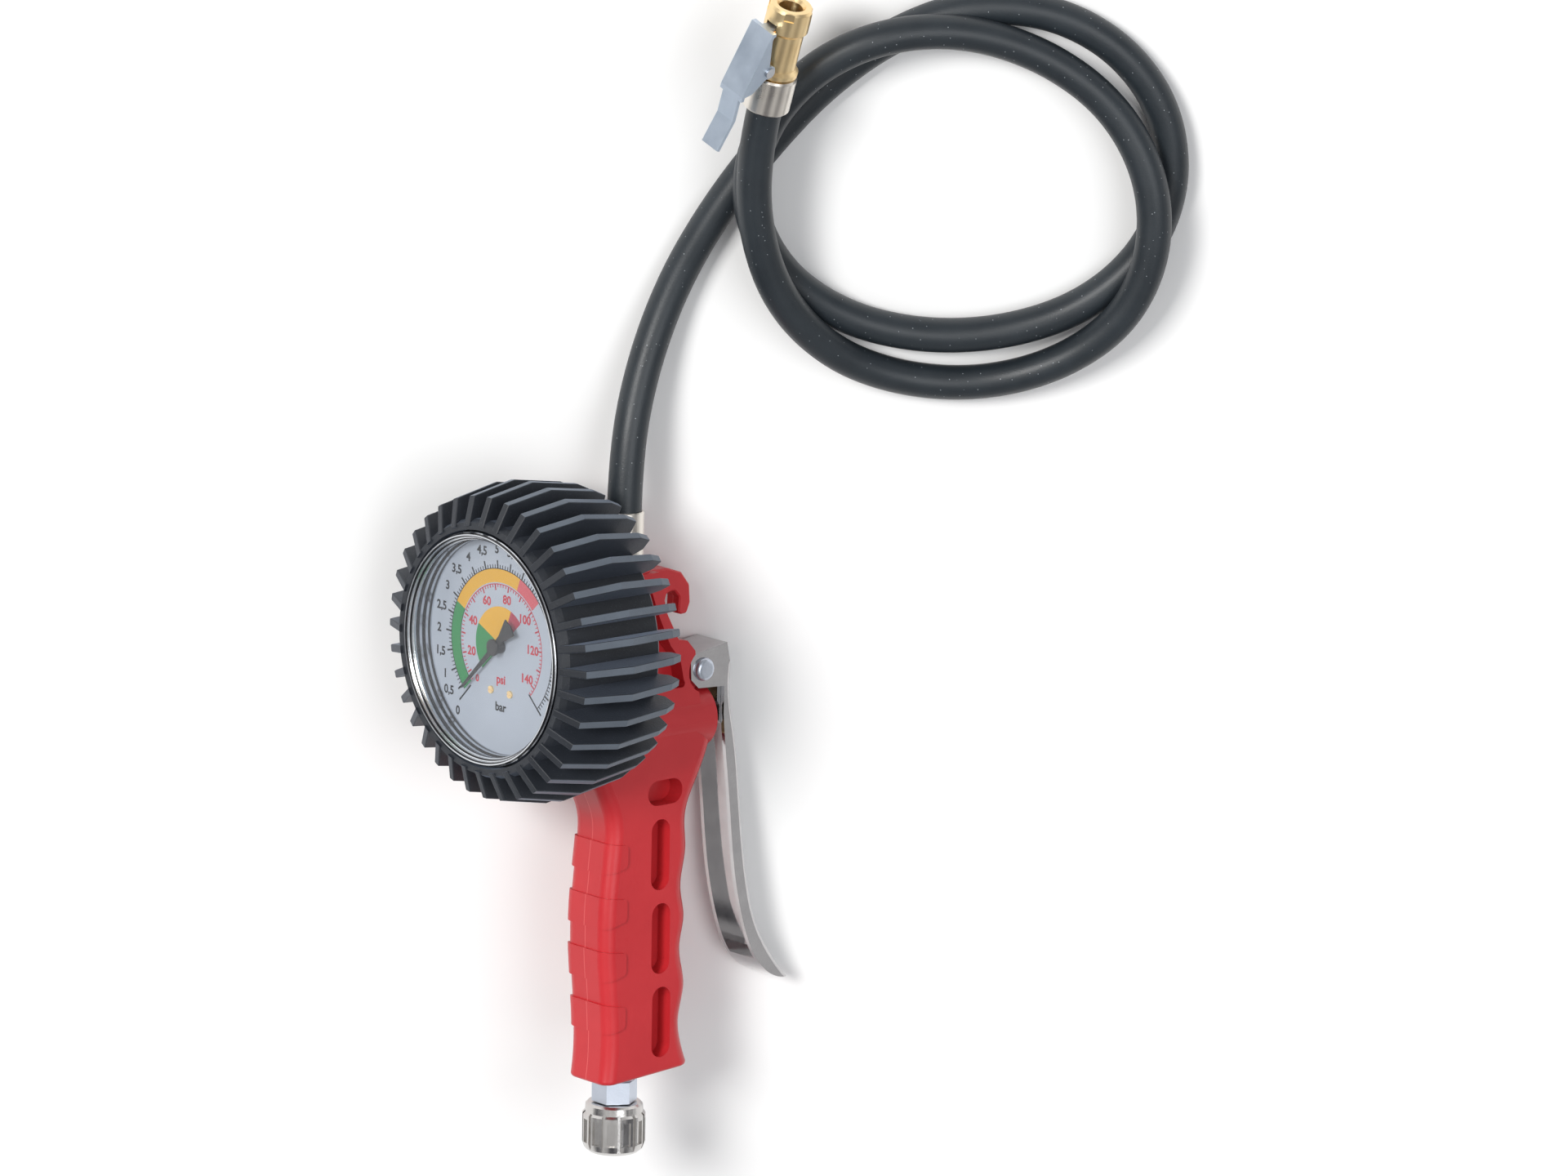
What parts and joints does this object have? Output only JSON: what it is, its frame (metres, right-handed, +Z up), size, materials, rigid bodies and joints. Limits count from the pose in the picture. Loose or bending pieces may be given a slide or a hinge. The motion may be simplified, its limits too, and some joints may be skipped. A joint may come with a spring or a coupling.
{
  "type": "tire inflator gun",
  "caption": "Hand-held tyre inflator gun for compressed air: red grip, squeeze lever, dial gauge in a ribbed rubber boot, coiled hose and clip-on valve chuck.",
  "frame": {"origin": "centre of the base of the lying gun's bounding box, hose and chuck left out, on the table it rests on", "axes": "+Z up from the table; +Y from the inlet nut along the gun to the hose outlet; +X to the side the grip's back and lever point to"},
  "size_m": [0.2707, 0.4152, 0.1079],
  "materials": {
    "red_body": "satin moulded grain",
    "boot_rubber": "matte black rubber",
    "lever_chrome": "polished",
    "zinc": "satin zinc plate",
    "nut_chrome": "bright plated",
    "nickel": "satin nickel plate",
    "brass": "turned",
    "chrome_ring": "polished",
    "case_black": "semi-gloss black",
    "lens": "clear",
    "dial_face": "matte pale blue-grey print",
    "needle_black": "matte black",
    "steel": "bright",
    "hose_rubber": "dark slate rubber",
    "seal_rubber": "matte black",
    "clip_zinc": "matte blue zinc"
  },
  "bodies": {
    "gun_body": {"grip_body": "red_body", "air_tube": "steel", "valve_seat": "brass", "valve_plug": "brass", "seat_seal": "seal_rubber", "valve_spring": "steel", "gauge_boot": "boot_rubber", "gauge_case": "case_black", "bezel_ring": "chrome_ring", "gauge_lens": "lens", "spacer_ring": "case_black", "dial_plate": "dial_face", "dial_screws": "brass", "movement_front_plate": "brass", "movement_rear_plate": "brass", "movement_pillars": "brass", "gauge_stem": "brass", "bourdon_tube": "brass", "inlet_fitting": "zinc", "inlet_washer": "seal_rubber", "outlet_nipple": "brass", "outlet_ferrule": "nickel", "hose": "hose_rubber", "chuck_ferrule": "nickel", "chuck_body": "brass", "chuck_seal": "seal_rubber", "clip_spring": "steel"},
    "lever": {"lever": "lever_chrome", "lever_pusher": "steel", "lever_pin": "zinc", "pin_clip": "zinc"},
    "plunger": {"valve_plunger": "brass", "plunger_cap": "case_black", "poppet_seal": "seal_rubber"},
    "needle": {"needle": "needle_black", "needle_hub": "chrome_ring", "needle_arbor": "needle_black", "pinion": "brass"},
    "sector": {"sector_gear": "brass", "sector_arbor": "steel"},
    "nut": {"inlet_nut": "nut_chrome"},
    "clip": {"clip_lever": "clip_zinc", "clip_pin": "steel"},
    "depressor": {"depressor_pin": "brass"}
  },
  "joints": [
    {"name": "lever_squeeze", "type": "hinge", "parent": "gun_body", "child": "lever", "pos_m": [0.03308, 0.04293, 0.01396], "axis": [-0.6128, -0.1171, -0.7815], "range_deg": [0, 11], "stiffness_Nm_per_rad": 2},
    {"name": "plunger_press", "type": "slide", "parent": "gun_body", "child": "plunger", "axis": [-0.7903, 0.0908, 0.606], "range_m": [0, 0.0032], "deforming": ["valve_spring"]},
    {"name": "needle_swing", "type": "hinge", "parent": "gun_body", "child": "needle", "pos_m": [-0.03053, 0.06784, 0.06011], "axis": [0.7903, -0.0908, -0.606], "range_deg": [0, 270]},
    {"name": "sector_swing", "type": "hinge", "parent": "gun_body", "child": "sector", "pos_m": [-0.02974, 0.04777, 0.0625], "axis": [0.7903, -0.0908, -0.606], "range_deg": [-30, 0]},
    {"name": "nut_turn", "type": "hinge", "parent": "gun_body", "child": "nut", "pos_m": [0.00898, -0.11274, 0.05618], "axis": [0, -0.989, 0.1482], "continuous": true},
    {"name": "clip_press", "type": "hinge", "parent": "gun_body", "child": "clip", "pos_m": [0.0491, 0.26978, 0.04445], "axis": [0.6173, -0.279, 0.7356], "range_deg": [0, 12], "stiffness_Nm_per_rad": 0.3, "deforming": ["clip_spring"]},
    {"name": "depressor_press", "type": "slide", "parent": "gun_body", "child": "depressor", "axis": [-0.183, -0.9603, -0.2106], "range_m": [0, 0.0015], "stiffness_N_per_m": 400}
  ],
  "couplings": [
    {"joint": "plunger_press", "follows": "lever_squeeze", "m_per_rad": 0.016667},
    {"joint": "sector_swing", "follows": "needle_swing", "ratio": -0.11111}
  ]
}
